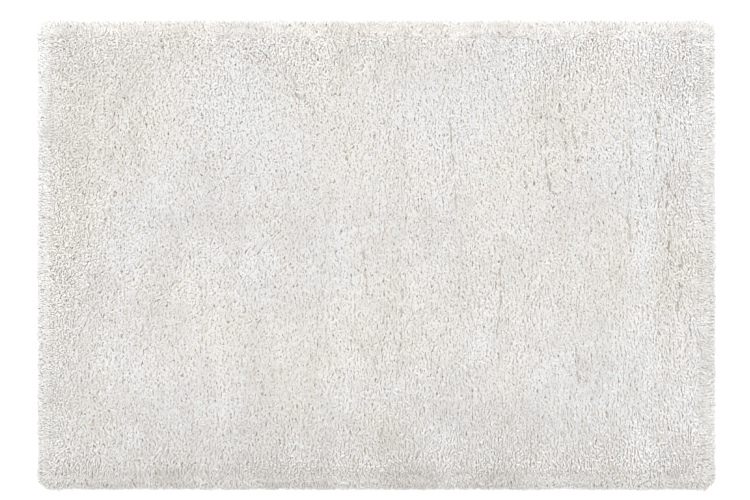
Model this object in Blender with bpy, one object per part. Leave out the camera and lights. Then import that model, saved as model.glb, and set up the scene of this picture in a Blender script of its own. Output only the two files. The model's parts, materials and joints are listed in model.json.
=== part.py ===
"""A deep-pile shag rug lying flat, as two solids: the ground cloth and the pile that grows from it.

The pile is one lumpy slab with a rounded shoulder. Round its rim stands a row of locks, which
spring from the slab's side, droop over the cloth's edge and rest on the floor.

Metres, +Z up. The origin is on the floor under the rug's middle; X runs along its length.
"""

import math
import random
from collections import namedtuple

import bmesh
import bpy
from mathutils import Vector, noise

# Driving dimensions.
RUG_LENGTH = 2.31  # over the tips of the rim locks, along X
RUG_WIDTH = 1.60  # over the tips of the rim locks, along Y
CLOTH_THICKNESS = 0.003
PILE_TOP = 0.041  # height of the slab's top, lumps apart
LOCK_REACH = 0.022  # how far the longest rim lock stands out of the slab's side
GAP = 0.0003  # left between the two solids

# The slab's side bulges out and in by chance, in lobes about this long and at most this deep.
LOBE_LENGTH = 0.060
LOBE_DEPTH = 0.007

# The slab's side, seen from above. The longest tips at the crest of a lobe make the rug's size.
SIDE_HALF_LENGTH = (RUG_LENGTH - LOBE_DEPTH) / 2 - LOCK_REACH
SIDE_HALF_WIDTH = (RUG_WIDTH - LOBE_DEPTH) / 2 - LOCK_REACH
CORNER_RADIUS = 0.026
PILE_BASE = CLOTH_THICKNESS + GAP

# The ground cloth, whose edge lies a little in from the deepest of the lobes.
CLOTH_SETBACK = LOBE_DEPTH + 0.001
CLOTH_CORNER_RADIUS = 0.020
CLOTH_CORNER_STEPS = 8

# The rounded shoulder: a ring a step in from the side, and a height as a share of the slab's.
SHOULDER_INSET = 0.036
MIDWAY_INSET = 0.014
MIDWAY_SHARE = 0.88
MIDWAY_CORNER_RADIUS = 0.014
SIDE_SHARE = 0.64

# The mesh: cells of the slab's top, and rim locks, each with a narrow stretch of side after it.
CELLS_ALONG = 54
CELLS_ACROSS = 37
LOCK_COUNT = 260
LOCK_SHARE = 0.64  # of the way from one lock to the next that its root takes
ROOT_WANDER = 0.10  # of that way, by which a root's two sides move by chance

# Chance lumps all over the pile, about this long along X and along Y, and at most this high or deep.
LUMP_LENGTH = 0.085
LUMP_WIDTH = 0.125
LUMP_HEIGHT = 0.0090

# A swell is a long soft rise of the pile, or a hollow where its height is below nought.
Swell = namedtuple("Swell", "x y half_width half_length turn_deg height")
SWELLS = (
    Swell(0.90, -0.10, 0.040, 0.360, 1, 0.0060),  # the ridge down the right-hand side
    Swell(0.96, 0.17, 0.028, 0.190, -3, -0.0080),  # the parting beside it
    Swell(0.96, -0.32, 0.030, 0.130, 2, -0.0060),
    Swell(1.06, 0.00, 0.045, 0.160, 0, -0.0035),
    Swell(1.05, 0.54, 0.050, 0.080, 20, -0.0040),
    Swell(0.56, 0.44, 0.045, 0.170, -8, -0.0050),
    Swell(0.46, 0.20, 0.050, 0.150, 0, 0.0040),
    Swell(0.38, -0.40, 0.070, 0.120, 0, 0.0035),
    Swell(0.03, -0.53, 0.065, 0.110, 0, -0.0045),
    Swell(-0.02, -0.06, 0.050, 0.190, 4, -0.0045),
    Swell(-0.10, 0.50, 0.090, 0.110, 0, 0.0040),
    Swell(-0.12, 0.10, 0.050, 0.110, 60, 0.0035),
    Swell(-0.39, 0.62, 0.045, 0.150, 32, -0.0050),
    Swell(-0.57, 0.49, 0.085, 0.110, 15, 0.0045),
    Swell(-0.60, -0.33, 0.080, 0.150, 5, 0.0045),
    Swell(-0.67, -0.63, 0.060, 0.090, 0, -0.0045),
    Swell(-0.86, 0.38, 0.060, 0.110, 10, -0.0050),
    Swell(-1.06, 0.14, 0.045, 0.120, 0, -0.0035),
)

# A rim lock's two sections beyond its root: share of its reach, and its width, height and lowest
# level there. The last one is the blunt tip, which lies on the floor.
Section = namedtuple("Section", "reach_share width height level")
LOCK_SECTIONS = (
    Section(0.52, 0.0165, 0.0180, 0.0020),
    Section(1.00, 0.0085, 0.0075, 0.0000),
)
LEAST_REACH_SHARE = 0.62  # of the longest lock's reach, on the shortest
CORNER_STRETCH = 0.35  # how much longer the locks are that fan out at a corner
LARGEST_DRIFT = 0.0045  # of a tip along the rim, to either side
HEIGHT_VARIATION = 0.15  # of a lock's height, up or down
SEED = 11

CLOTH_COLOUR = (0.62, 0.57, 0.48, 1)
PILE_COLOUR = (0.82, 0.80, 0.75, 1)


def clear_scene():
    for obj in list(bpy.data.objects):
        bpy.data.objects.remove(obj)


def textile(name, colour, roughness):
    material = bpy.data.materials.new(name)
    material.use_nodes = True
    shader = material.node_tree.nodes["Principled BSDF"]
    shader.inputs["Base Color"].default_value = colour
    shader.inputs["Roughness"].default_value = roughness
    shader.inputs["Metallic"].default_value = 0.0
    return material


def add_solid(name, bm, material):
    mesh = bpy.data.meshes.new(name)
    bmesh.ops.recalc_face_normals(bm, faces=bm.faces)
    bm.to_mesh(mesh)
    bm.free()
    mesh.materials.append(material)
    obj = bpy.data.objects.new(name, mesh)
    bpy.context.scene.collection.objects.link(obj)
    return obj


def unevenness(x, y):
    """How far the lumps and swells raise the pile at a place on the rug."""
    total = LUMP_HEIGHT * noise.noise(Vector((x / LUMP_LENGTH, y / LUMP_WIDTH, 0)))
    for swell in SWELLS:
        turn = math.radians(swell.turn_deg)
        across = (x - swell.x) * math.cos(turn) + (y - swell.y) * math.sin(turn)
        along = (y - swell.y) * math.cos(turn) - (x - swell.x) * math.sin(turn)
        falloff = (across / swell.half_width) ** 2 + (along / swell.half_length) ** 2
        total += swell.height * math.exp(-falloff)
    return total


def side_place(share):
    """A point of the slab's side seen from above, and the direction that faces out there. The share
    runs from 0 to 1 round the rug, anticlockwise from the middle of the right-hand side."""
    core_x, core_y = SIDE_HALF_LENGTH - CORNER_RADIUS, SIDE_HALF_WIDTH - CORNER_RADIUS
    arc = CORNER_RADIUS * math.pi / 2
    stretches = (core_y, arc, 2 * core_x, arc, 2 * core_y, arc, 2 * core_x, arc, core_y)
    # Where each quarter turn starts: the middle of the right-hand side, then the corners' centres.
    centres = ((core_x, 0), (core_x, core_y), (-core_x, core_y), (-core_x, -core_y), (core_x, -core_y))
    left = share % 1.0 * sum(stretches)
    number = 0
    while left > stretches[number]:
        left -= stretches[number]
        number += 1
    centre = Vector(centres[(number + 1) // 2])
    if number % 2 == 1:
        angle = ((number - 1) // 2 + left / arc) * math.pi / 2
    else:
        angle = number // 2 * math.pi / 2
        centre += left * Vector((-math.sin(angle), math.cos(angle)))
    outward = Vector((math.cos(angle), math.sin(angle)))
    lobe = LOBE_DEPTH * noise.noise(Vector((*centre, 0)) / LOBE_LENGTH)
    return centre + (CORNER_RADIUS + lobe) * outward, outward


def on_midway_ring(point):
    """Where a point of the top's border goes, halfway down the shoulder."""
    half = Vector((SIDE_HALF_LENGTH - MIDWAY_INSET, SIDE_HALF_WIDTH - MIDWAY_INSET))
    top_half = Vector((SIDE_HALF_LENGTH - SHOULDER_INSET, SIDE_HALF_WIDTH - SHOULDER_INSET))
    place = Vector((point.x * half.x / top_half.x, point.y * half.y / top_half.y))
    core = half - Vector((MIDWAY_CORNER_RADIUS, MIDWAY_CORNER_RADIUS))
    centre = Vector((max(-core.x, min(core.x, place.x)), max(-core.y, min(core.y, place.y))))
    return centre + (place - centre).normalized() * MIDWAY_CORNER_RADIUS


def border_edges(bm):
    return [edge for edge in bm.edges if len(edge.link_faces) == 1]


def new_verts(extruded):
    return [item for item in extruded["geom"] if isinstance(item, bmesh.types.BMVert)]


def make_side(bm, roots):
    """The slab's upright side, closed below by the flat base, with a column for each lock's root and
    one for the gap after it. Returns the columns in their order and the edges of the open top."""
    ring = bmesh.ops.create_circle(bm, segments=len(roots), radius=1.0)["verts"]
    for vert, share in zip(ring, roots):
        place, _ = side_place(share)
        vert.co = (*place, PILE_TOP * SIDE_SHARE + unevenness(*place) / 2)
    top = [bm.edges.get((ring[number - 1], ring[number])) for number in range(1, len(ring))]
    top.append(bm.edges.get((ring[-1], ring[0])))
    for vert in new_verts(bmesh.ops.extrude_edge_only(bm, edges=top)):
        vert.co.z = PILE_BASE
    columns = [edge.link_faces[0] for edge in top]
    bmesh.ops.contextual_create(bm, geom=[edge for edge in border_edges(bm) if edge not in set(top)])
    return columns, top


def make_top(bm, side_top):
    """The slab's lumpy top and its rounded shoulder, down to the top of the side."""
    made = bmesh.ops.create_grid(bm, x_segments=CELLS_ALONG, y_segments=CELLS_ACROSS, size=1.0)
    for vert in made["verts"]:
        vert.co.x *= SIDE_HALF_LENGTH - SHOULDER_INSET
        vert.co.y *= SIDE_HALF_WIDTH - SHOULDER_INSET
        vert.co.z = PILE_TOP + unevenness(vert.co.x, vert.co.y)
    rim = [edge for edge in border_edges(bm) if edge not in set(side_top)]
    for vert in new_verts(bmesh.ops.extrude_edge_only(bm, edges=rim)):
        vert.co.xy = on_midway_ring(vert.co)
        vert.co.z = PILE_TOP * MIDWAY_SHARE + unevenness(vert.co.x, vert.co.y)
    bmesh.ops.bridge_loops(bm, edges=border_edges(bm))


def grow_lock(bm, column, share, chance):
    """Draws a column of the side out into a four-sided lock that droops to the floor."""
    root, outward = side_place(share)
    sideways = Vector((-outward.y, outward.x))
    # Largest at the middle of a corner's arc, and nought along the straight sides.
    fanning = abs(2 * outward.x * outward.y)
    reach = LOCK_REACH * chance.uniform(LEAST_REACH_SHARE, 1) * (1 + CORNER_STRETCH * fanning)
    drift = chance.uniform(-LARGEST_DRIFT, LARGEST_DRIFT)
    tallness = 1 + chance.uniform(-HEIGHT_VARIATION, HEIGHT_VARIATION)
    end = column
    for section in LOCK_SECTIONS:
        end = bmesh.ops.extrude_discrete_faces(bm, faces=[end])["faces"][0]
        middle = root + section.reach_share * (reach * outward + drift * sideways)
        height = end.calc_center_median().z
        for vert in end.verts:
            side = math.copysign(section.width / 2, (vert.co.xy - root).dot(sideways))
            raised = section.height * tallness if vert.co.z > height else 0.0
            vert.co = (*(middle + side * sideways), section.level + raised)


def build_pile(material):
    chance = random.Random(SEED)
    roots = []
    for number in range(LOCK_COUNT):
        for edge in (0, LOCK_SHARE):
            roots.append((number + edge + chance.uniform(-ROOT_WANDER, ROOT_WANDER)) / LOCK_COUNT)
    bm = bmesh.new()
    columns, side_top = make_side(bm, roots)
    make_top(bm, side_top)
    for number in range(0, len(roots), 2):
        grow_lock(bm, columns[number], (roots[number] + roots[number + 1]) / 2, chance)
    solid = add_solid("pile", bm, material)
    solid.data.shade_smooth()
    solid.data.set_sharp_from_angle(angle=math.radians(40))


def build_cloth(material):
    """The ground cloth that the yarn is tufted into: a flat sheet with rounded corners."""
    bm = bmesh.new()
    bmesh.ops.create_cube(bm, size=1.0)
    half_length, half_width = SIDE_HALF_LENGTH - CLOTH_SETBACK, SIDE_HALF_WIDTH - CLOTH_SETBACK
    bmesh.ops.scale(bm, verts=bm.verts, vec=(2 * half_length, 2 * half_width, CLOTH_THICKNESS))
    bmesh.ops.translate(bm, verts=bm.verts, vec=(0, 0, CLOTH_THICKNESS / 2))
    upright = [edge for edge in bm.edges if edge.verts[0].co.xy == edge.verts[1].co.xy]
    bmesh.ops.bevel(
        bm, geom=upright, offset=CLOTH_CORNER_RADIUS, segments=CLOTH_CORNER_STEPS, affect="EDGES", profile=0.5
    )
    add_solid("backing", bm, material)


def main():
    clear_scene()
    build_cloth(textile("ground cloth", CLOTH_COLOUR, 0.9))
    build_pile(textile("pile yarn", PILE_COLOUR, 0.95))


main()
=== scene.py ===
"""A deep-pile shag rug: over a hundred thousand curved yarn locks on a woven ground cloth.

The locks stand in tufted rows, arch over and lie along the rug's width. Their tips gather into strands
with broken valleys between them. Round the rim they fan out over the cloth's edge and droop to the
floor.
"""

import json
import math
from typing import NamedTuple

import bpy
import numpy as np
from bpy.props import FloatProperty, FloatVectorProperty, IntProperty, PointerProperty
from bpy.types import Operator, Panel, PropertyGroup
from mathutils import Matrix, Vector, noise
from mathutils.bvhtree import BVHTree

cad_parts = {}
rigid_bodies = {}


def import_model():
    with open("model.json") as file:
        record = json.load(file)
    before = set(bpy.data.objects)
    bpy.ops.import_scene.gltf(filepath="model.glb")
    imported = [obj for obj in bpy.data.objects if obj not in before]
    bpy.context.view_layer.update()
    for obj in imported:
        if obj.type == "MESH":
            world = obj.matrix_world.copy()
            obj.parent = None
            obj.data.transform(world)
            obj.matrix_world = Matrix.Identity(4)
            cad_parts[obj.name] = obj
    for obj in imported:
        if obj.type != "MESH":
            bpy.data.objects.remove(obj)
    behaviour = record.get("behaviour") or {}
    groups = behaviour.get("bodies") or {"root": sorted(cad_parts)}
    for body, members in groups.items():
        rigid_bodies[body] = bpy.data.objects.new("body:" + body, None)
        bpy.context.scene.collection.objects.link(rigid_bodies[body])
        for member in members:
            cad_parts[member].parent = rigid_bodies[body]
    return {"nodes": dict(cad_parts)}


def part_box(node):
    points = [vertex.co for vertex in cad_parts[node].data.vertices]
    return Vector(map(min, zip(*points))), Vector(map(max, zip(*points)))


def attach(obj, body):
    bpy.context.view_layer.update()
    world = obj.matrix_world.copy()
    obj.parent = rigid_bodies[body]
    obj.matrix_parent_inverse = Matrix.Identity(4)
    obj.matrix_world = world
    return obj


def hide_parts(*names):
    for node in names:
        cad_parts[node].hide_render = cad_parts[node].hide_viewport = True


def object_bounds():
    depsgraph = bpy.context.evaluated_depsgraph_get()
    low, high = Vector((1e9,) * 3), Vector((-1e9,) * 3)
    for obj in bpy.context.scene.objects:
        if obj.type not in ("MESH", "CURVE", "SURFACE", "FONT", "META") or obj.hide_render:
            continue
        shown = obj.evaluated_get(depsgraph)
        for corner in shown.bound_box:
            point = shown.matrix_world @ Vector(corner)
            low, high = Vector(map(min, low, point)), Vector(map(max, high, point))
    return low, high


bl_info = {
    "name": "Shag rug",
    "version": (1, 0, 0),
    "blender": (4, 5, 0),
    "location": "3D View > Sidebar > Rug",
    "description": "Builds a deep-pile shag rug, lock by lock",
    "category": "Add Mesh",
}

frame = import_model()
CAD_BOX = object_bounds()
CLOTH_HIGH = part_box("backing")[1]
PILE_LOW, PILE_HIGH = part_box("pile")
CLOTH_HALF = np.array((CLOTH_HIGH.x, CLOTH_HIGH.y))

# Lengths are in metres and angles in radians. A spread is how far chance mostly takes a value from the
# usual one, and a range runs from the least to the most that chance gives.

# The yarn's tones, painted light and shade among them: each lock is coloured in one of these, which is a
# column of the locks'
# UV map.
TINTS = 2  # warm and cool
LEVELS = 10  # from dark to light
COLUMNS = TINTS * LEVELS
COLUMN_MARGIN = 0.1  # of a column's width, left bare at both its sides
MAP_MARGIN = 0.01  # of the map's height, left bare at its foot and head
YARN_MAP = "OFBake"

# A lock begins and ends in a point. Between them, at this share of its length, is a ring of three points
# where it is widest: a ridge, this far up from the lock's centreline, and two lower points, this far down
# from it, as shares of its width.
RING_SHARE = 0.78
RIDGE_HEIGHT = 0.22
BELLY_DEPTH = 0.12
BELLY_SIDE = 1  # of a lock's three sides, the one between its two lower points
ROOT_RISE = 0.25  # a root's height, as a share of the pile's over it or, at the rim, of its tip's

# The field of locks all over the rug.
LOCK_PIECES = 5  # it is split into this many strips along X
FIELD_REACH = 0.012  # of the outermost of its tips beyond the cloth's edge
ROOT_MARGIN = 0.003  # from its outermost roots to the cloth's edge
ROW_JITTER = 0.35  # the most by which a tip lies off its place, as a share of the rows' pitch
TUFT_JITTER = 0.45  # likewise, as a share of the tufts' pitch
LEFT_COMBEDNESS = 0.15  # how combed the pile is at the left, where 1 is fully and 0 not at all
COMBEDNESS_GAIN = 0.7  # more of it from the middle on
COMBEDNESS_PATCHES = 0.55  # the most that its patches add or take
COMBED_SPREAD, TOUSLED_SPREAD = 0.18, 0.45  # of the way that a lock lies over
SLOW_SWIRL_TURN, QUICK_SWIRL_TURN = 0.35, 0.45  # the most that the swirls turn it
COMBED_CALM = 0.4  # of the swirls' turn, lost where the pile is combed
LEAN_RANGE = (0.6, 1.3)  # of the usual lean
CROWN_SHARE = 0.15  # of the way from root to tip, where the bend of a lock is
TIP_RANGE = (-0.0007, 0.001)  # above the solid's surface
CROWN_RANGE = (-0.003, 0.001)  # likewise
LOWEST_TIP = 0.004  # the least height of a tip
WIDTH_RANGE = (0.75, 1.25)  # of the usual width
FIELD_ROLL_SPREAD = 0.35  # of the ridge, about the centreline

# Strands and valleys. Where a tip lies across them is a share of the strands' pitch.
STRAND_WANDER, STRAND_DRIFT = 0.008, 0.012  # the most by which a strand winds, in short and long bends
VALLEY_FLOOR, VALLEY_EDGE = 0.04, 0.18  # from its middle to where the floor ends and the strand begins
VALLEY_SPAN = (-0.4, 0.3)  # of its noise, from where a valley is broken to where it is whole
DEPTH_SPAN = (0.0, 0.45)  # likewise, from the shallowest to the deepest ones
SHALLOW_VALLEY, DEEP_VALLEY = 0.35, 0.80  # of the valley depth, in the shallowest and the deepest ones
STRAND_GATHER = 0.3  # of the way to the strand's middle, by which a tip moves there
CROWN_SINK = 0.8  # how far the bend sinks in a gap, as a share of the tip's sinking
GAP_SHADE, CLEFT_SHADE = 0.7, 0.8  # painted shade off the tone level in the deepest gap, as shares of it
GAP_SHADE_POWER = 1.5  # the power of the gap's depth with which its shade grows

# Where the locks lean out to the rim.
RIM_TURN = 0.07  # from the cloth's edge to where the field's locks don't lean out any more
RIM_SWIRL_TURN = 1.2  # the most that the swirls turn the field's locks there
RIM_SPREAD = 0.35  # of the way that they lie over
RIM_FILL = 0.4  # of a valley's depth, filled there
RIM_SHADE = 0.10  # painted shade, taken off the tone level where the locks lie over to the rim
RIM_LIGHT = 0.10  # painted light on the outermost locks of the left and right, twice at the far side's
RIM_LIGHT_POWER = 4  # how fast that falls towards the upper tiers
RIM_COOL = 0.25  # added to the tint of the left and right rim locks, twice at the near side's

# The rim locks, in tiers over the cloth's edge. Their tips lie on a quarter of an ellipse, and a tier's
# turn says where on it: 0 would be at its top, and a right angle is at the rug's outline.
RIM_TIERS = 13
LOWEST_TURN, HIGHEST_TURN = math.radians(90), math.radians(30)
TURN_SPREAD = 0.12  # of the locks of one tier
RIM_INSET = 0.030  # from the cloth's edge in to the ellipse's middle
RIM_TOP = 0.036  # the ellipse's height
RIM_LOWEST_TIP = 0.0015  # the least height of a tip
CLOTH_CORNER_RADIUS = 0.020
LOBE_DEPTH = 0.10  # the most by which lobes lengthen or shorten the reach, as a share of it
CORNER_STRETCH = 0.12  # how much longer the reach is at the middle of a corner's arc, likewise
REACH_RANGE = (0.80, 1.08)  # of the usual way from the ellipse's middle
RIM_LOCK_LENGTH = 0.034  # from root to tip of the lowest ones, seen from above
RIM_LOCK_GROWTH = 0.010  # how much longer they would be at the ellipse's top
RIM_SWAY, RIM_SWAY_SPREAD = 0.012, 0.015  # of a tip along the rim, by swirls and by chance
RIM_ROOT_BASE = 0.004  # the height of a root, before the share of the tip's height
RIM_CROWN_SHARE = 0.65  # of the way from root to tip, where the bend is
RIM_CROWN_RISE = 0.004  # of the bend above the tip
RIM_CROWN_ARCH = 0.012  # more of it on the lowest tier
RIM_CROWN_RANGE = (-0.006, 0.003)  # of the bend's height, round the usual one
RIM_WIDTH_RANGE = (0.6, 1.1)  # of the usual width
RIM_ROLL_SPREAD = 0.4  # of the ridge, about the centreline
FLOOR_GAP = 0.0004  # between the floor and the locks that lie on it


class Pattern(NamedTuple):
    """Soft noise: how large its patches are along X and along Y. The layer is any number of its own,
    which keeps it unlike the others."""

    size_x: float
    size_y: float
    layer: float


COMBING = Pattern(size_x=0.22, size_y=0.30, layer=3.3)
SLOW_SWIRL = Pattern(size_x=0.30, size_y=0.34, layer=1.5)
QUICK_SWIRL = Pattern(size_x=0.05, size_y=0.09, layer=2.5)
RIM_SWIRL = Pattern(size_x=0.05, size_y=0.05, layer=13.3)
WANDER = Pattern(size_x=0.018, size_y=0.024, layer=4.2)
DRIFT = Pattern(size_x=0.08, size_y=0.10, layer=4.8)
VALLEY_DEPTHS = Pattern(size_x=0.030, size_y=0.024, layer=7.7)
CLEFT_BREAKS = Pattern(size_x=0.012, size_y=0.030, layer=15.1)
CLEFT_WANDER = Pattern(size_x=0.03, size_y=0.04, layer=16.2)
TONE_CLOUDS = Pattern(size_x=0.16, size_y=0.24, layer=8.1)
TONE_FLECKS = Pattern(size_x=0.05, size_y=0.07, layer=5.7)
TINT_CLOUDS = Pattern(size_x=0.20, size_y=0.28, layer=12.4)
RIM_LOBES = Pattern(size_x=0.060, size_y=0.060, layer=6.6)
RIM_SWAYING = Pattern(size_x=0.045, size_y=0.045, layer=9.9)

# The yarn's tone level and tint, which both run from 0 to 1, and what clouds, flecks and chance add.
USUAL_LEVEL, CLOUD_LEVEL, FLECK_LEVEL, LEVEL_SPREAD = 0.89, 0.09, 0.07, 0.035
USUAL_TINT, CLOUD_TINT, TINT_SPREAD = 0.5, 0.6, 0.25


class Patch(NamedTuple):
    """A soft patch where the yarn's tone level and tint are others: in some the yarn's own tone, in others
    painted light and shade. Sizes are from its middle to where it is about a third as strong."""

    x: float
    y: float
    size_x: float
    size_y: float
    lighter: float  # added to the tone level, which runs from 0 to 1
    cooler: float  # added to the tint, which runs from 0, warm, to 1, cool


# First those along the sides and over large stretches, then single ones, and last the near side's. Those
# along the far side, the left and right rims and the near side, and the lighter far half and darker near
# half, are painted light and shade, as the light falls from beyond the far side.
PATCHES = (
    # Painted shade and light along the far rim.
    Patch(x=0.00, y=0.785, size_x=1.60, size_y=0.032, lighter=-0.18, cooler=-0.10),
    Patch(x=0.00, y=0.737, size_x=1.60, size_y=0.009, lighter=-0.20, cooler=0.0),
    Patch(x=0.00, y=0.722, size_x=1.60, size_y=0.010, lighter=0.06, cooler=0.0),
    # Painted light over the far half and painted shade over the near half.
    Patch(x=0.00, y=0.45, size_x=1.60, size_y=0.28, lighter=0.08, cooler=0.0),
    Patch(x=-0.10, y=-0.60, size_x=1.50, size_y=0.20, lighter=-0.08, cooler=0.40),
    # A warmer middle.
    Patch(x=0.00, y=0.00, size_x=0.35, size_y=0.55, lighter=0.0, cooler=-0.30),
    # Painted shade down the left and right rims.
    Patch(x=-1.14, y=0.00, size_x=0.050, size_y=1.10, lighter=-0.02, cooler=0.20),
    Patch(x=1.14, y=0.00, size_x=0.050, size_y=1.10, lighter=-0.11, cooler=0.30),
    # Single patches that change the tone level and tint.
    Patch(x=-1.06, y=-0.10, size_x=0.16, size_y=0.70, lighter=-0.056, cooler=-0.10),
    Patch(x=-0.85, y=0.40, size_x=0.20, size_y=0.14, lighter=-0.049, cooler=-0.35),
    Patch(x=-1.05, y=0.22, size_x=0.10, size_y=0.16, lighter=-0.042, cooler=-0.30),
    Patch(x=-0.56, y=0.50, size_x=0.14, size_y=0.10, lighter=0.042, cooler=0.30),
    Patch(x=-0.60, y=-0.50, size_x=0.18, size_y=0.12, lighter=0.035, cooler=0.35),
    Patch(x=-0.02, y=-0.20, size_x=0.05, size_y=0.26, lighter=-0.035, cooler=-0.35),
    Patch(x=0.02, y=-0.60, size_x=0.12, size_y=0.08, lighter=-0.042, cooler=-0.35),
    Patch(x=0.06, y=0.50, size_x=0.14, size_y=0.12, lighter=0.035, cooler=0.30),
    Patch(x=0.56, y=0.44, size_x=0.16, size_y=0.14, lighter=-0.035, cooler=-0.35),
    Patch(x=0.90, y=-0.12, size_x=0.04, size_y=0.50, lighter=0.07, cooler=0.45),
    Patch(x=0.99, y=0.10, size_x=0.05, size_y=0.40, lighter=-0.056, cooler=-0.20),
    # Painted shade along the near side, which faces away from the light.
    Patch(x=0.00, y=-0.84, size_x=1.60, size_y=0.17, lighter=-0.18, cooler=0.40),
)


class Parting(NamedTuple):
    """A chain of clefts between tips that lie over to either side."""

    x: float
    y: float
    length: float
    lean: float  # sideways for each metre along Y
    strength: float


PARTINGS = (
    Parting(x=0.63, y=0.44, length=0.26, lean=-0.12, strength=1.0),
    Parting(x=0.67, y=0.38, length=0.20, lean=-0.20, strength=0.9),
    Parting(x=0.71, y=0.42, length=0.24, lean=0.00, strength=0.6),
    Parting(x=0.58, y=0.30, length=0.30, lean=-0.05, strength=0.7),
    Parting(x=-0.32, y=0.60, length=0.22, lean=-0.75, strength=0.8),
    Parting(x=-0.24, y=0.52, length=0.20, lean=-0.60, strength=0.6),
    Parting(x=0.95, y=0.40, length=0.34, lean=0.06, strength=0.9),
    Parting(x=0.99, y=0.12, length=0.40, lean=-0.04, strength=1.0),
    Parting(x=1.03, y=-0.10, length=0.34, lean=0.08, strength=0.9),
    Parting(x=0.86, y=0.20, length=0.50, lean=0.02, strength=0.5),
    Parting(x=0.26, y=0.30, length=0.34, lean=-0.06, strength=0.6),
    Parting(x=0.08, y=-0.28, length=0.34, lean=0.05, strength=0.6),
    Parting(x=-0.04, y=-0.06, length=0.26, lean=-0.08, strength=0.6),
    Parting(x=0.42, y=-0.10, length=0.40, lean=0.04, strength=0.6),
    Parting(x=-0.90, y=0.16, length=0.20, lean=0.30, strength=0.5),
    Parting(x=-0.60, y=-0.16, length=0.24, lean=-0.10, strength=0.5),
    Parting(x=0.02, y=-0.62, length=0.16, lean=0.10, strength=0.6),
    Parting(x=0.68, y=-0.36, length=0.22, lean=-0.10, strength=0.5),
)
PARTING_BREADTH = 0.0036  # from the middle of a cleft to where it is about a third as deep
PARTING_SHIFT = 0.003  # the most by which a tip lies over to either side of it
PARTING_WANDER = 0.010  # the most by which a chain of clefts winds
PARTING_SPAN = (-0.15, 0.10)  # of its noise, from where a chain is broken to where it is whole
PARTING_ENDS = (0.3, 0.5)  # from its middle, as shares of its length, to where it fades and where it ends


# Sizes and colours -------------------------------------------------------------------------------


class ShagPileSettings(PropertyGroup):
    row_pitch: FloatProperty(
        name="Row pitch", description="Between two tufted rows, along X", default=0.0063, min=0.004,
        unit="LENGTH",
    )
    tuft_pitch: FloatProperty(
        name="Tuft pitch", description="Between two tufts in a row", default=0.0043, min=0.003, unit="LENGTH"
    )
    lock_width: FloatProperty(
        name="Lock width", description="Across a lock at its widest", default=0.0058, unit="LENGTH"
    )
    combed_lean: FloatProperty(
        name="Combed lean", description="How far a lock lies over where the pile is combed", default=0.024,
        unit="LENGTH",
    )
    tousled_lean: FloatProperty(
        name="Tousled lean", description="How far a lock lies over where the pile is tousled", default=0.020,
        unit="LENGTH",
    )
    strand_pitch: FloatProperty(
        name="Strand pitch", description="Between two strands of tips, along X", default=0.0125, unit="LENGTH"
    )
    valley_length: FloatProperty(
        name="Valley length", description="Of an unbroken valley between two strands", default=0.018,
        unit="LENGTH",
    )
    valley_depth: FloatProperty(
        name="Valley depth", description="How far the tips in a valley lie below the rest", default=0.0085,
        unit="LENGTH",
    )
    rim_reach: FloatProperty(
        name="Rim reach", description="From the cloth's edge out to the longest rim lock's tip",
        default=PILE_HIGH.x - CLOTH_HIGH.x, unit="LENGTH",
    )
    rim_pitch: FloatProperty(
        name="Rim pitch", description="Between two rim locks of one tier", default=0.0032, unit="LENGTH"
    )
    light_yarn: FloatVectorProperty(
        name="Light yarn", description="The lightest of the yarn's tones", default=(0.945, 0.946, 0.943),
        subtype="COLOR", min=0, max=1,
    )
    # The darkest tone is warm brown. Painted shade in the gaps, clefts and rim takes the yarn towards it,
    # while the yarn's own tones stay near the light end.
    dark_yarn_and_shade: FloatVectorProperty(
        name="Dark yarn", description="The darkest of the yarn's tones", default=(0.42, 0.35, 0.28),
        subtype="COLOR", min=0, max=1,
    )
    seed: IntProperty(name="Seed", description="Starts the chance differences between locks", default=7)


class ShagClothSettings(PropertyGroup):
    thread_pitch: FloatProperty(
        name="Thread pitch", description="Between two threads of the ground cloth", default=0.0028,
        unit="LENGTH",
    )
    colour: FloatVectorProperty(
        name="Colour", description="The ground cloth's colour", default=(0.55, 0.49, 0.39), subtype="COLOR",
        min=0, max=1,
    )


class ShagStageSettings(PropertyGroup):
    floor_colour: FloatVectorProperty(
        name="Floor", description="The floor's colour", default=(0.92, 0.92, 0.92), subtype="COLOR",
        min=0, max=1,
    )
    camera_height: FloatProperty(
        name="Camera height", description="Of the camera above the floor", default=6.0, unit="LENGTH"
    )
    sky_strength: FloatProperty(
        name="Sky", description="Strength of the light from all round", default=1.315
    )
    window_strength: FloatProperty(
        name="Window", description="Strength of the broad soft light from beyond the rug's far side",
        default=1.15,
    )


# Materials ---------------------------------------------------------------------------------------

COOL_TINT, WARM_TINT = (0.985, 0.994, 1.0), (1.0, 0.987, 0.968)
STREAK_SHADE = (0.95, 0.945, 0.94)  # between a yarn's fibres
ROOT_SHADE = (0.86, 0.83, 0.79)  # at a lock's root, which is in the others' shade
SHADE_SPAN = (0.05, 0.75)  # of a lock's length, from full shade to none
YARN_FIBRES = (13.0 * COLUMNS, 14.0, 0.05)  # scales across and along the locks' UV map, and twist
ROOT_FIBRES = (900.0, 300.0, 0.2)  # likewise, for each metre
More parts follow.
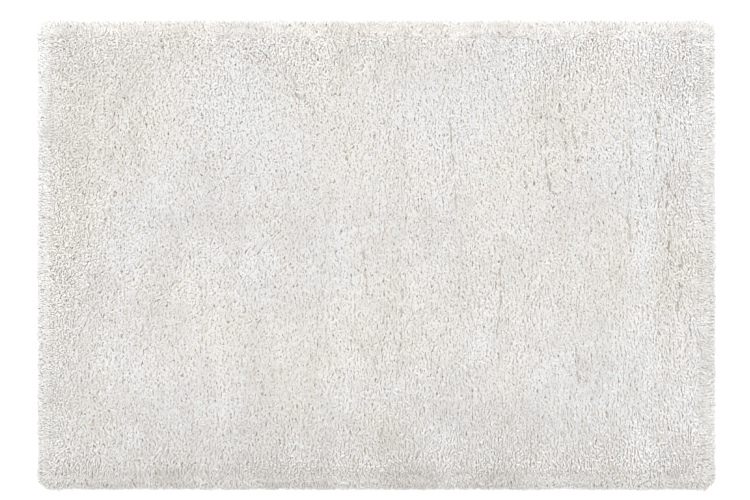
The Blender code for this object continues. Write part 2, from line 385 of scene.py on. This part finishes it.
# The roots are warm, and darker than the yarn with painted shade: lighter at the tufts' middles, darker
# between them, and darkest in the painted deep shade.
ROOTS_LIGHT, ROOTS_DARK, ROOTS_DEEP_SHADE = (0.78, 0.74, 0.68), (0.68, 0.62, 0.55), (0.42, 0.34, 0.26)
ROOT_GRAIN = 0.3  # how strong the fibres' tone is
DEEP_SHADE_SPOTS = 60.0  # scale of the noise whose highest parts are the spots of painted deep shade
DEEP_SHADE_SPAN = (0.52, 0.66)  # of that noise, from none of the painted deep shade to all of it
THREAD_SHADE = 0.55  # of the cloth's colour, between its threads
THREAD_WANDER = 40.0  # scale of the noise by which the threads are uneven
CLOTH_MOTTLE = 0.35  # how strong the darker mottling is
YARN_BUMP, ROOT_BUMP, THREAD_BUMP = 0.0006, 0.001, 0.0008  # how high the fibres and threads stand


def new_material(name, roughness):
    """A Principled material, its nodes, its links and its shader."""
    material = bpy.data.materials.new(name)
    material.use_nodes = True
    tree = material.node_tree
    shader = tree.nodes["Principled BSDF"]
    shader.inputs["Roughness"].default_value = roughness
    return material, tree, shader


def math_node(tree, operation, first, second=None):
    node = tree.nodes.new("ShaderNodeMath")
    node.operation = operation
    for socket, value in zip(node.inputs, (first, second)):
        if isinstance(value, bpy.types.NodeSocket):
            tree.links.new(value, socket)
        elif value is not None:
            socket.default_value = value
    return node.outputs[0]


def mix_colours(tree, factor, first, second, blend="MIX"):
    node = tree.nodes.new("ShaderNodeMix")
    node.data_type = "RGBA"
    node.blend_type = blend
    # A Mix node for colours has its factor, first and second colour at these places.
    for place, value in ((0, factor), (6, first), (7, second)):
        if isinstance(value, bpy.types.NodeSocket):
            tree.links.new(value, node.inputs[place])
        elif isinstance(value, float):
            node.inputs[place].default_value = value
        else:
            node.inputs[place].default_value = (*value, 1)
    return node.outputs[2]


def multiply_colours(tree, first, second):
    return mix_colours(tree, 1.0, first, second, "MULTIPLY")


def stretch(tree, value, span):
    """Grows evenly from 0 at the first end of the span to 1 at its second end."""
    node = tree.nodes.new("ShaderNodeMapRange")
    node.inputs["From Min"].default_value, node.inputs["From Max"].default_value = span
    tree.links.new(value, node.inputs["Value"])
    return node.outputs[0]


def fibre_group():
    """Fine twisted fibres along a yarn: a tone mask and a height, from a vector across and along it."""
    name = "Yarn fibres"
    if name in bpy.data.node_groups:
        return bpy.data.node_groups[name]
    tree = bpy.data.node_groups.new(name, "ShaderNodeTree")
    tree.interface.new_socket("Vector", in_out="INPUT", socket_type="NodeSocketVector")
    for label in ("Across", "Along", "Twist"):
        tree.interface.new_socket(label, in_out="INPUT", socket_type="NodeSocketFloat")
    for label in ("Tone", "Height"):
        tree.interface.new_socket(label, in_out="OUTPUT", socket_type="NodeSocketFloat")
    inside = tree.nodes.new("NodeGroupInput").outputs
    split = tree.nodes.new("ShaderNodeSeparateXYZ")
    tree.links.new(inside["Vector"], split.inputs[0])
    turned = math_node(tree, "MULTIPLY", split.outputs["Y"], inside["Twist"])
    shifted = math_node(tree, "ADD", split.outputs["X"], turned)
    joined = tree.nodes.new("ShaderNodeCombineXYZ")
    tree.links.new(math_node(tree, "MULTIPLY", shifted, inside["Across"]), joined.inputs["X"])
    tree.links.new(math_node(tree, "MULTIPLY", split.outputs["Y"], inside["Along"]), joined.inputs["Y"])
    tree.links.new(split.outputs["Z"], joined.inputs["Z"])
    fibres = tree.nodes.new("ShaderNodeTexNoise")
    fibres.inputs["Scale"].default_value = 1.0
    fibres.inputs["Detail"].default_value = 3.0
    tree.links.new(joined.outputs[0], fibres.inputs["Vector"])
    outside = tree.nodes.new("NodeGroupOutput").inputs
    tree.links.new(stretch(tree, fibres.outputs["Fac"], (0.3, 0.7)), outside["Tone"])
    tree.links.new(fibres.outputs["Fac"], outside["Height"])
    return tree


def add_fibres(tree, vector, across, along, twist):
    """The fibres' tone mask and height, over this vector."""
    node = tree.nodes.new("ShaderNodeGroup")
    node.node_tree = fibre_group()
    tree.links.new(vector, node.inputs["Vector"])
    node.inputs["Across"].default_value = across
    node.inputs["Along"].default_value = along
    node.inputs["Twist"].default_value = twist
    return node.outputs["Tone"], node.outputs["Height"]


def add_bump(tree, shader, height, distance):
    bump = tree.nodes.new("ShaderNodeBump")
    bump.inputs["Distance"].default_value = distance
    tree.links.new(height, bump.inputs["Height"])
    tree.links.new(bump.outputs["Normal"], shader.inputs["Normal"])


def lock_material(pile):
    """Soft yarn. Its tone comes from the lock's column of the UV map, and lightens from the painted shade at
    its root to its tip.
    """
    material, tree, shader = new_material("pile yarn", 0.9)
    shader.inputs["Sheen Weight"].default_value = 0.1
    shader.inputs["Sheen Roughness"].default_value = 0.6
    shader.inputs["Specular IOR Level"].default_value = 0.25
    uv = tree.nodes.new("ShaderNodeUVMap")
    uv.uv_map = YARN_MAP
    split = tree.nodes.new("ShaderNodeSeparateXYZ")
    tree.links.new(uv.outputs["UV"], split.inputs[0])
    tint_place = math_node(tree, "MULTIPLY", split.outputs["X"], float(TINTS))
    tint = math_node(tree, "FLOOR", tint_place)
    level_place = math_node(tree, "MULTIPLY", math_node(tree, "FRACT", tint_place), float(LEVELS))
    level = math_node(tree, "DIVIDE", math_node(tree, "FLOOR", level_place), LEVELS - 1.0)
    yarn = mix_colours(tree, level, tuple(pile.dark_yarn_and_shade), tuple(pile.light_yarn))
    warm, cool = multiply_colours(tree, yarn, WARM_TINT), multiply_colours(tree, yarn, COOL_TINT)
    tinted = mix_colours(tree, tint, warm, cool)
    tone, height = add_fibres(tree, uv.outputs["UV"], *YARN_FIBRES)
    streaked = mix_colours(tree, tone, multiply_colours(tree, tinted, STREAK_SHADE), tinted)
    ramp = tree.nodes.new("ShaderNodeValToRGB")
    shaded, open_air = ramp.color_ramp.elements
    shaded.position, open_air.position = SHADE_SPAN
    shaded.color = (*ROOT_SHADE, 1)
    open_air.color = (1, 1, 1, 1)
    tree.links.new(split.outputs["Y"], ramp.inputs["Fac"])
    tree.links.new(multiply_colours(tree, streaked, ramp.outputs["Color"]), shader.inputs["Base Color"])
    add_bump(tree, shader, height, YARN_BUMP)
    return material


def bed_material(pile):
    """The yarn's roots, close together: warm and grained, and darker with painted shade, as they lie in the
    locks' shade.
    """
    material, tree, shader = new_material("pile roots", 1.0)
    place = tree.nodes.new("ShaderNodeTexCoord").outputs["Object"]
    tufts = tree.nodes.new("ShaderNodeTexVoronoi")
    tufts.inputs["Scale"].default_value = 1 / pile.row_pitch
    tree.links.new(place, tufts.inputs["Vector"])
    tone, height = add_fibres(tree, place, *ROOT_FIBRES)
    tufted = mix_colours(tree, tufts.outputs["Distance"], ROOTS_LIGHT, ROOTS_DARK)
    grained = mix_colours(tree, math_node(tree, "MULTIPLY", tone, ROOT_GRAIN), tufted, ROOTS_DARK)
    # Here and there painted deep shade darkens it further.
    deep_shade_noise = tree.nodes.new("ShaderNodeTexNoise")
    deep_shade_noise.inputs["Scale"].default_value = DEEP_SHADE_SPOTS
    tree.links.new(place, deep_shade_noise.inputs["Vector"])
    deep = stretch(tree, deep_shade_noise.outputs["Fac"], DEEP_SHADE_SPAN)
    tree.links.new(mix_colours(tree, deep, grained, ROOTS_DEEP_SHADE), shader.inputs["Base Color"])
    add_bump(tree, shader, height, ROOT_BUMP)
    return material


def cloth_material(cloth):
    """Plain-woven ground cloth: threads over and under each other, a little uneven."""
    material, tree, shader = new_material("ground cloth", 0.95)
    place = tree.nodes.new("ShaderNodeTexCoord").outputs["Object"]
    wander = tree.nodes.new("ShaderNodeTexNoise")
    wander.inputs["Scale"].default_value = THREAD_WANDER
    tree.links.new(place, wander.inputs["Vector"])
    split = tree.nodes.new("ShaderNodeSeparateXYZ")
    tree.links.new(place, split.inputs[0])
    uneven = math_node(tree, "MULTIPLY", wander.outputs["Fac"], cloth.thread_pitch)
    turns = math.pi / cloth.thread_pitch
    waves = []
    for axis in ("X", "Y"):
        shifted = math_node(tree, "ADD", split.outputs[axis], uneven)
        waves.append(math_node(tree, "SINE", math_node(tree, "MULTIPLY", shifted, turns)))
    over = math_node(tree, "MULTIPLY", *waves)
    height = math_node(tree, "ABSOLUTE", over)
    shade = math_node(tree, "MULTIPLY", math_node(tree, "ADD", height, 1.0), 0.5)
    dark = tuple(THREAD_SHADE * value for value in cloth.colour)
    woven = mix_colours(tree, shade, dark, tuple(cloth.colour))
    mottle = math_node(tree, "MULTIPLY", wander.outputs["Fac"], CLOTH_MOTTLE)
    tree.links.new(mix_colours(tree, mottle, woven, dark), shader.inputs["Base Color"])
    add_bump(tree, shader, height, THREAD_BUMP)
    return material


# Where the pile stands ----------------------------------------------------------------------------


def noise_at(x, y, pattern):
    """Soft noise from about -1 to 1 at each place."""
    size_x, size_y, layer = pattern
    return np.array([noise.noise((a / size_x, b / size_y, layer)) for a, b in zip(x, y)])


def smooth_step(value, low, high):
    """Grows softly from 0 at the low end to 1 at the high end."""
    share = np.clip((value - low) / (high - low), 0, 1)
    return share * share * (3 - 2 * share)


def solid_height(x, y):
    """The height of the pile's solid at each place, by looking straight down onto it."""
    mesh = frame["nodes"]["pile"].data
    tree = BVHTree.FromPolygons([v.co for v in mesh.vertices], [face.vertices for face in mesh.polygons])
    above = PILE_HIGH.z + 0.1
    heights = []
    for a, b in zip(x, y):
        hit = tree.ray_cast((a, b, above), (0, 0, -1))[0]
        heights.append(hit.z if hit else PILE_LOW.z)
    return np.array(heights)


def combedness(x, y):
    """1 where the pile is combed along Y, as in the middle and on the right, and 0 where tousled."""
    left, middle = -0.75, 0.15
    usual = LEFT_COMBEDNESS + COMBEDNESS_GAIN * smooth_step(x, left, middle)
    return np.clip(usual + COMBEDNESS_PATCHES * noise_at(x, y, COMBING), 0, 1)


def cleft_at(x, y):
    """How much of a cleft lies at each place, from 0 to 1, and to which side of it the place is."""
    cleft, side = np.zeros(len(x)), np.zeros(len(x))
    whole = smooth_step(noise_at(x, y, CLEFT_BREAKS), *PARTING_SPAN)
    wander = PARTING_WANDER * noise_at(x, y, CLEFT_WANDER)
    for parting in PARTINGS:
        across = x + wander - parting.x - parting.lean * (y - parting.y)
        ends = 1 - smooth_step(np.abs(y - parting.y) / parting.length, *PARTING_ENDS)
        share = np.exp(-((across / PARTING_BREADTH) ** 2)) * ends * whole * parting.strength
        side = np.where(share > cleft, np.sign(across), side)
        cleft = np.maximum(cleft, share)
    return cleft, side


def tone_of(x, y, rng):
    """A tone level from 0, dark, to 1, with the patches' painted light and shade, and how cool the tint is,
    from 0 to 1.
    """
    level = USUAL_LEVEL + CLOUD_LEVEL * noise_at(x, y, TONE_CLOUDS)
    level = level + FLECK_LEVEL * noise_at(x, y, TONE_FLECKS) + rng.normal(0, LEVEL_SPREAD, len(x))
    cool = USUAL_TINT + CLOUD_TINT * noise_at(x, y, TINT_CLOUDS)
    for patch in PATCHES:
        share = np.exp(-(((x - patch.x) / patch.size_x) ** 2) - ((y - patch.y) / patch.size_y) ** 2)
        level = level + patch.lighter * share
        cool = cool + patch.cooler * share
    return np.clip(level, 0, 1), np.clip(cool + rng.normal(0, TINT_SPREAD, len(x)), 0, 1)


def round_outline(half_x, half_y, radius, count):
    """Evenly spaced places on a rectangle with rounded corners, and the directions that face out."""
    corner_steps = 8
    points, outward = [], []
    for quarter, (sx, sy) in enumerate(((1, 1), (-1, 1), (-1, -1), (1, -1))):
        for step in range(corner_steps + 1):
            angle = (quarter + step / corner_steps) * math.pi / 2
            facing = np.array((math.cos(angle), math.sin(angle)))
            centre = np.array((sx * (half_x - radius), sy * (half_y - radius)))
            points.append(centre + radius * facing)
            outward.append(facing)
    points, outward = np.array(points + points[:1]), np.array(outward + outward[:1])
    far = np.concatenate(((0.0,), np.cumsum(np.linalg.norm(np.diff(points, axis=0), axis=1))))
    along = np.arange(count) / count * far[-1]
    places = np.stack([np.interp(along, far, points[:, axis]) for axis in (0, 1)], axis=1)
    facing = np.stack([np.interp(along, far, outward[:, axis]) for axis in (0, 1)], axis=1)
    return places, facing / np.linalg.norm(facing, axis=1, keepdims=True)


# Locks as arrays -----------------------------------------------------------------------------------


def lock_points(root, crown, tip, width, roll):
    """The points of each lock, whose centreline is the curve from root to tip that crown pulls.

    All but width and roll are arrays of places. The roll turns the ridge about the centreline."""
    share = RING_SHARE
    centre = (1 - share) ** 2 * root + 2 * share * (1 - share) * crown + share**2 * tip
    along = (1 - share) * (crown - root) + share * (tip - crown)
    along /= np.linalg.norm(along, axis=1, keepdims=True)
    side = np.cross(along, (0.0, 0.0, 1.0))
    nothing = 1e-9  # added so that an upright lock, whose side has no length, divides by it and not by 0
    side /= np.linalg.norm(side, axis=1, keepdims=True) + nothing
    up = np.cross(side, along)
    turned_side = np.cos(roll)[:, None] * side + np.sin(roll)[:, None] * up
    turned_up = np.cos(roll)[:, None] * up - np.sin(roll)[:, None] * side
    ridge = centre + RIDGE_HEIGHT * width[:, None] * turned_up
    low = centre - BELLY_DEPTH * width[:, None] * turned_up
    half = width[:, None] / 2 * turned_side
    return np.stack((root, ridge, low + half, low - half, tip), axis=1)


def lock_faces():
    """One lock's triangles as corners, each with its places in the yarn map, across and along it, and
    whether it is one of the rounded upper ones and not of the flat belly."""
    root, tip = 0, 4
    faces, places, upper = [], [], []
    for side in range(3):
        left, middle, right = side / 3, (side + 0.5) / 3, (side + 1) / 3
        near, far = 1 + side, 1 + (side + 1) % 3
        faces += [(root, far, near), (near, far, tip)]
        places += [((middle, 0.0), (right, RING_SHARE), (left, RING_SHARE))]
        places += [((left, RING_SHARE), (right, RING_SHARE), (middle, 1.0))]
        upper += [side != BELLY_SIDE] * 2
    return np.array(faces), np.array(places), np.array(upper)


def locks_mesh(name, locks, level, cool, material):
    """One piece of many locks, from an array of their points, with each lock in its tone's column."""
    count, points_each = locks.shape[:2]
    corners, places, upper = lock_faces()
    faces = (corners[None] + points_each * np.arange(count)[:, None, None]).reshape(-1)
    column = np.minimum((cool * TINTS).astype(int), TINTS - 1) * LEVELS
    column = column + np.minimum((level * LEVELS).astype(int), LEVELS - 1)
    u = (column[:, None, None] + COLUMN_MARGIN + (1 - 2 * COLUMN_MARGIN) * places[None, :, :, 0]) / COLUMNS
    v = np.broadcast_to(MAP_MARGIN + (1 - 2 * MAP_MARGIN) * places[None, :, :, 1], u.shape)
    uv = np.stack((u, v), axis=-1).astype(np.float32)
    mesh = bpy.data.meshes.new(name)
    mesh.vertices.add(points_each * count)
    mesh.vertices.foreach_set("co", locks.astype(np.float32).ravel())
    mesh.loops.add(len(faces))
    mesh.loops.foreach_set("vertex_index", faces.astype(np.int32))
    mesh.polygons.add(len(faces) // 3)
    mesh.polygons.foreach_set("loop_start", np.arange(0, len(faces), 3, dtype=np.int32))
    mesh.uv_layers.new(name=YARN_MAP).data.foreach_set("uv", uv.ravel())
    mesh.polygons.foreach_set("use_smooth", np.tile(upper, count))
    mesh.update(calc_edges=True)
    mesh.materials.append(material)
    piece = bpy.data.objects.new(name, mesh)
    bpy.context.scene.collection.objects.link(piece)
    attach(piece, "root")
    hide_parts("pile")
    return piece


def field_tips(pile, rng):
    """Where the tips of the field's locks lie: in rows along Y, staggered and a little uneven."""
    half_x, half_y = CLOTH_HIGH.x + FIELD_REACH, CLOTH_HIGH.y + FIELD_REACH
    rows = int(2 * half_x / pile.row_pitch)
    tufts = int(2 * half_y / pile.tuft_pitch)
    row, tuft = np.meshgrid(np.arange(rows), np.arange(tufts), indexing="ij")
    x = (row + 0.5) / rows * 2 * half_x - half_x
    y = (tuft + 0.5 * (row % 2) + 0.25) / tufts * 2 * half_y - half_y
    x, y = x.ravel(), y.ravel()
    x = x + rng.uniform(-ROW_JITTER, ROW_JITTER, x.shape) * pile.row_pitch
    y = y + rng.uniform(-TUFT_JITTER, TUFT_JITTER, y.shape) * pile.tuft_pitch
    return x, y


def field_directions(pile, place, rng):
    """The way from each lock's root to its tip, seen from above, and how much it leans out to the rim,
    from 0 to 1."""
    x, y = place.T
    count = len(place)
    combed = combedness(x, y)
    # It lies over towards -Y where combed, with slow swirls, and any way where tousled.
    swirl = SLOW_SWIRL_TURN * noise_at(x, y, SLOW_SWIRL) + QUICK_SWIRL_TURN * noise_at(x, y, QUICK_SWIRL)
    spread = TOUSLED_SPREAD - (TOUSLED_SPREAD - COMBED_SPREAD) * combed
    angle = -math.pi / 2 + swirl * (1 - COMBED_CALM * combed) + rng.normal(0, 1, count) * spread
    lean = pile.tousled_lean + (pile.combed_lean - pile.tousled_lean) * combed
    lean = lean * rng.uniform(*LEAN_RANGE, count)
    # Near the rim it turns to lean out, by the shorter way round.
    outward = (1 - smooth_step(CLOTH_HALF - np.abs(place), -FIELD_REACH, RIM_TURN)) * np.sign(place)
    rim = np.minimum(np.linalg.norm(outward, axis=1), 1)
    turn = np.arctan2(outward[:, 1], outward[:, 0]) - angle + RIM_SWIRL_TURN * noise_at(x, y, RIM_SWIRL)
    turn = (turn + math.pi) % (2 * math.pi) - math.pi
    angle = angle + turn * smooth_step(rim, 0, 1) + rng.normal(0, RIM_SPREAD, count) * rim
    return np.stack((np.cos(angle), np.sin(angle)), axis=1) * lean[:, None], rim


def valleys_at(pile, x, y):
    """How deep in a valley between two strands of tips each place is, from 0 to 1, and where it lies
    across the nearest valley, as a share of the strands' pitch."""
    wander = STRAND_WANDER * noise_at(x, y, WANDER) + STRAND_DRIFT * noise_at(x, y, DRIFT)
    place = (x + wander) / pile.strand_pitch
    nearest = np.round(place)
    across = place - nearest
    valley = 1 - smooth_step(np.abs(across), VALLEY_FLOOR, VALLEY_EDGE)
    # Where one valley is broken or shallow, the next ones tend to be whole and deep.
    odd = 1 - 2 * (nearest % 2)
    breaks = Pattern(size_x=0.030, size_y=pile.valley_length, layer=6.1)
    valley *= smooth_step(odd * noise_at(x, y, breaks), *VALLEY_SPAN)
    deep = smooth_step(odd * noise_at(x, y, VALLEY_DEPTHS), *DEPTH_SPAN)
    return valley * (SHALLOW_VALLEY + (DEEP_VALLEY - SHALLOW_VALLEY) * deep), across


def field_locks(pile, rng):
    """Points, tones and tints of the locks all over the rug, from its left end to its right end."""
    x, y = field_tips(pile, rng)
    count = len(x)
    place = np.stack((x, y), axis=1)
    offset, rim = field_directions(pile, place, rng)
    root = np.clip(place - offset, ROOT_MARGIN - CLOTH_HALF, CLOTH_HALF - ROOT_MARGIN)
    # The tips lie over to both sides of a valley or a cleft. Those in it are sunk, and darkened with painted
    # shade.
    valley, across = valleys_at(pile, x, y)
    cleft, side = cleft_at(x, y)
    gap = np.maximum(valley, cleft)
    gathered = STRAND_GATHER * np.sign(across) * (0.5 - np.abs(across)) * pile.strand_pitch
    place[:, 0] += gathered + PARTING_SHIFT * cleft * side
    sunk = pile.valley_depth * gap * (1 - RIM_FILL * rim)
    root_height, height = solid_height(*root.T), solid_height(*place.T)
    root = np.column_stack((root, ROOT_RISE * root_height))
    tip = np.column_stack((place, height + rng.uniform(*TIP_RANGE, count) - sunk))
    tip[:, 2] = np.maximum(tip[:, 2], LOWEST_TIP)
    crown = (1 - CROWN_SHARE) * root + CROWN_SHARE * tip
    crown[:, 2] = np.maximum(root_height, height) + rng.uniform(*CROWN_RANGE, count) - CROWN_SINK * sunk
    width = pile.lock_width * rng.uniform(*WIDTH_RANGE, count)
    points = lock_points(root, crown, tip, width, rng.normal(0, FIELD_ROLL_SPREAD, count))
    level, cool = tone_of(x, y, rng)
    # Painted shade: darker where the locks lie over to the rim, and darker still in the gaps and clefts.
    level = (level - RIM_SHADE * rim) * (1 - GAP_SHADE * gap**GAP_SHADE_POWER) * (1 - CLEFT_SHADE * cleft)
    order = np.argsort(x, kind="stable")
    return points[order], np.clip(level[order], 0, 1), cool[order]


def rim_tier(pile, place, outward, turn, rng):
    """Points, tones and tints of one tier of rim locks, one at each of these places along the cloth's
    edge."""
    count = len(place)
    sideways = np.stack((-outward[:, 1], outward[:, 0]), axis=1)
    place = place + sideways * rng.uniform(-0.5, 0.5, (count, 1)) * pile.rim_pitch
    corner = (2 * outward[:, 0] * outward[:, 1]) ** 2
    lobes = 1 + LOBE_DEPTH * noise_at(*place.T, RIM_LOBES) + CORNER_STRETCH * corner
    angle = turn + rng.normal(0, TURN_SPREAD, count)
    full = (RIM_INSET + pile.rim_reach * lobes) * rng.uniform(*REACH_RANGE, count)
    out = full * np.abs(np.sin(angle)) - RIM_INSET
    tip_height = np.maximum(RIM_TOP * np.cos(angle), RIM_LOWEST_TIP)
    back = RIM_LOCK_LENGTH + RIM_LOCK_GROWTH * np.cos(angle)
    sway = RIM_SWAY * noise_at(*place.T, RIM_SWAYING) + rng.normal(0, RIM_SWAY_SPREAD, count)
    root_height = RIM_ROOT_BASE + ROOT_RISE * tip_height
    root = np.column_stack((place + outward * (out - back)[:, None], root_height))
    tip = np.column_stack((place + outward * out[:, None] + sideways * sway[:, None], tip_height))
    crown = (1 - RIM_CROWN_SHARE) * root + RIM_CROWN_SHARE * tip
    arch = RIM_CROWN_RISE + RIM_CROWN_ARCH * np.sin(angle)
    crown[:, 2] = tip_height + arch + rng.uniform(*RIM_CROWN_RANGE, count)
    width = pile.lock_width * rng.uniform(*RIM_WIDTH_RANGE, count)
    points = lock_points(root, crown, tip, width, rng.normal(0, RIM_ROLL_SPREAD, count))
    # What reaches the floor lies on it.
    points[..., 2] = np.maximum(points[..., 2], FLOOR_GAP)
    level, cool = tone_of(*tip[:, :2].T, rng)
    # Painted shade all round the rim, and painted light on the outermost tiers at the left and right, twice
    # at the far side.
    level = level - RIM_SHADE + RIM_LIGHT * (1 + outward[:, 1]) * np.sin(angle) ** RIM_LIGHT_POWER
    return points, np.clip(level, 0, 1), np.clip(cool + RIM_COOL * (1 - outward[:, 1]), 0, 1)


def rim_locks(pile, rng):
    """Points, tones and tints of the locks that fan out over the cloth's edge, in tiers from the floor
    up. Their tips lie on a quarter of an ellipse, from the rug's top down to its outline."""
    count = int(4 * (CLOTH_HIGH.x + CLOTH_HIGH.y) / pile.rim_pitch)
    # They are spaced evenly at their tips, so that they stand closer round the corners.
    reach = pile.rim_reach
    tips, outward = round_outline(*(CLOTH_HALF + reach), CLOTH_CORNER_RADIUS + reach, count)
    place = tips - outward * reach
    turns = np.linspace(LOWEST_TURN, HIGHEST_TURN, RIM_TIERS)
    tiers = [rim_tier(pile, place, outward, turn, rng) for turn in turns]
    return [np.concatenate(parts) for parts in zip(*tiers)]


# Operators -----------------------------------------------------------------------------------------

BED_CELLS_ALONG, BED_CELLS_ACROSS = 120, 84  # along the rug's length and across it
BED_START = 0.2  # the height, well over the rug, from which the grid drops
BED_INSET = 0.004  # from the cloth's edge
BED_DEPTH = 0.0088  # below the solid's surface
BED_CLEARANCE = 0.0005  # above the cloth

FLOOR_SIZE = 60
WINDOW_PLACE = (0, 3, 3)
WINDOW_ANGLE = math.radians(45)  # how broad the window looks from the rug
WINDOW_TURN = math.radians(-45)  # about X, from straight overhead to the far side
# In pixels: the picture's width, the rug's length in it, and how far right of and above the picture's
# middle the rug's middle lies.
PICTURE_WIDTH = 750
SEEN_LENGTH = 677
SEEN_SHIFT = Vector((1.5, -4.5))


def select_nothing():
    for item in bpy.context.view_layer.objects:
        item.select_set(False)


class SHAG_OT_ground_cloth(Operator):
    """Finishes the ground cloth that the locks are tufted into"""

    bl_idname = "shag.ground_cloth"
    bl_label = "Ground cloth"

    def execute(self, context):
        cloth = frame["nodes"]["backing"]
        material = cloth_material(context.scene.shag_cloth)
        cloth.data.materials.clear()
        cloth.data.materials.append(material)
        return {"FINISHED"}


class SHAG_OT_pile_bed(Operator):
    """Adds the bed of yarn roots that shows in the gaps between the locks"""

    bl_idname = "shag.pile_bed"
    bl_label = "Pile bed"

    def execute(self, context):
        select_nothing()
        # A grid above the rug drops onto the pile's solid.
        bpy.ops.mesh.primitive_grid_add(
            x_subdivisions=BED_CELLS_ALONG, y_subdivisions=BED_CELLS_ACROSS, size=2,
            location=(0, 0, BED_START),
        )
        bed = context.active_object
        bed.name = "pile_bed"
        bed.scale = (CLOTH_HIGH.x - BED_INSET, CLOTH_HIGH.y - BED_INSET, 1)
        bpy.ops.object.transform_apply(location=True, scale=True)
        drop = bed.modifiers.new("Onto the pile", "SHRINKWRAP")
        drop.target = frame["nodes"]["pile"]
        drop.wrap_method = "PROJECT"
        drop.use_project_z = True
        drop.use_negative_direction = True
        bpy.ops.object.modifier_apply(modifier=drop.name)
        # It sinks below the tips, and its border is drawn straight down to a flat base.
        bpy.ops.object.mode_set(mode="EDIT")
        bpy.ops.mesh.select_all(action="SELECT")
        bpy.ops.transform.translate(value=(0, 0, -BED_DEPTH))
        bpy.ops.mesh.select_all(action="DESELECT")
        bpy.ops.mesh.select_non_manifold()
        bpy.ops.mesh.extrude_edges_move()
        bpy.ops.transform.resize(value=(1, 1, 0), center_override=(0, 0, CLOTH_HIGH.z + BED_CLEARANCE))
        bpy.ops.mesh.edge_face_add()
        bpy.ops.mesh.select_all(action="SELECT")
        bpy.ops.mesh.normals_make_consistent(inside=False)
        bpy.ops.object.mode_set(mode="OBJECT")
        bpy.ops.object.shade_smooth_by_angle(angle=math.radians(40))
        bed.data.materials.append(bed_material(context.scene.shag_pile))
        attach(bed, "root")
        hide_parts("pile")
        return {"FINISHED"}


class SHAG_OT_locks(Operator):
    """Adds all the locks: strips of the field along X, and the fan of locks round the rim"""

    bl_idname = "shag.locks"
    bl_label = "Locks"

    def execute(self, context):
        pile = context.scene.shag_pile
        rng = np.random.default_rng(pile.seed)
        material = lock_material(pile)
        points, level, cool = field_locks(pile, rng)
        for number, part in enumerate(np.array_split(np.arange(len(points)), LOCK_PIECES), start=1):
            name = f"field_locks_{number}"
            locks_mesh(name, points[part], level[part], cool[part], material)
        locks_mesh("rim_locks", *rim_locks(pile, rng), material)
        return {"FINISHED"}


class SHAG_OT_stage(Operator):
    """Adds the floor, the soft light and the camera"""

    bl_idname = "shag.stage"
    bl_label = "Stage"

    def execute(self, context):
        stage = context.scene.shag_stage
        select_nothing()
        bpy.ops.mesh.primitive_plane_add(size=FLOOR_SIZE)
        floor = context.active_object
        floor.name = "floor"
        material, _, shader = new_material("floor", 0.9)
        shader.inputs["Base Color"].default_value = (*stage.floor_colour, 1)
        floor.data.materials.append(material)

        world = bpy.data.worlds.new("soft sky")
        world.use_nodes = True
        light = world.node_tree.nodes["Background"].inputs
        light["Color"].default_value = (1, 1, 1, 1)
        light["Strength"].default_value = stage.sky_strength
        context.scene.world = world

        bpy.ops.object.light_add(type="SUN", location=WINDOW_PLACE)
        window = context.active_object
        window.data.energy = stage.window_strength
        window.data.angle = WINDOW_ANGLE
        window.rotation_euler = (WINDOW_TURN, 0, 0)

        # The rug spans the same stretch of the picture as the photographed one.
        pixel = (CAD_BOX[1].x - CAD_BOX[0].x) / SEEN_LENGTH
        data = bpy.data.cameras.new("camera")
        data.lens = data.sensor_width * stage.camera_height / (pixel * PICTURE_WIDTH)
        camera = bpy.data.objects.new("camera", data)
        camera.location = (*(-SEEN_SHIFT * pixel), stage.camera_height)
        context.scene.collection.objects.link(camera)
        context.scene.camera = camera
        context.scene.view_settings.view_transform = "Standard"
        return {"FINISHED"}


class SHAG_PT_rug(Panel):
    """The rug's sizes, colours and steps"""

    bl_idname = "SHAG_PT_rug"
    bl_label = "Shag rug"
    bl_space_type = "VIEW_3D"
    bl_region_type = "UI"
    bl_category = "Rug"

    def draw(self, context):
        for settings, operators in STEPS:
            box = self.layout.box()
            group = getattr(context.scene, settings)
            for name in type(group).__annotations__:
                box.prop(group, name)
            for operator in operators:
                box.operator(operator)


STEPS = (
    ("shag_cloth", ("shag.ground_cloth",)),
    ("shag_pile", ("shag.pile_bed", "shag.locks")),
    ("shag_stage", ("shag.stage",)),
)
SETTINGS = (ShagPileSettings, ShagClothSettings, ShagStageSettings)
OPERATORS = (SHAG_OT_ground_cloth, SHAG_OT_pile_bed, SHAG_OT_locks, SHAG_OT_stage)


def register():
    for item in (*SETTINGS, *OPERATORS, SHAG_PT_rug):
        bpy.utils.register_class(item)
    bpy.types.Scene.shag_pile = PointerProperty(type=ShagPileSettings)
    bpy.types.Scene.shag_cloth = PointerProperty(type=ShagClothSettings)
    bpy.types.Scene.shag_stage = PointerProperty(type=ShagStageSettings)


def unregister():
    del bpy.types.Scene.shag_pile, bpy.types.Scene.shag_cloth, bpy.types.Scene.shag_stage
    for item in (SHAG_PT_rug, *reversed(OPERATORS), *reversed(SETTINGS)):
        bpy.utils.unregister_class(item)


def main():
    register()
    bpy.ops.shag.ground_cloth()
    bpy.ops.shag.pile_bed()
    bpy.ops.shag.locks()
    bpy.ops.shag.stage()


if __name__ == "__main__":
    main()
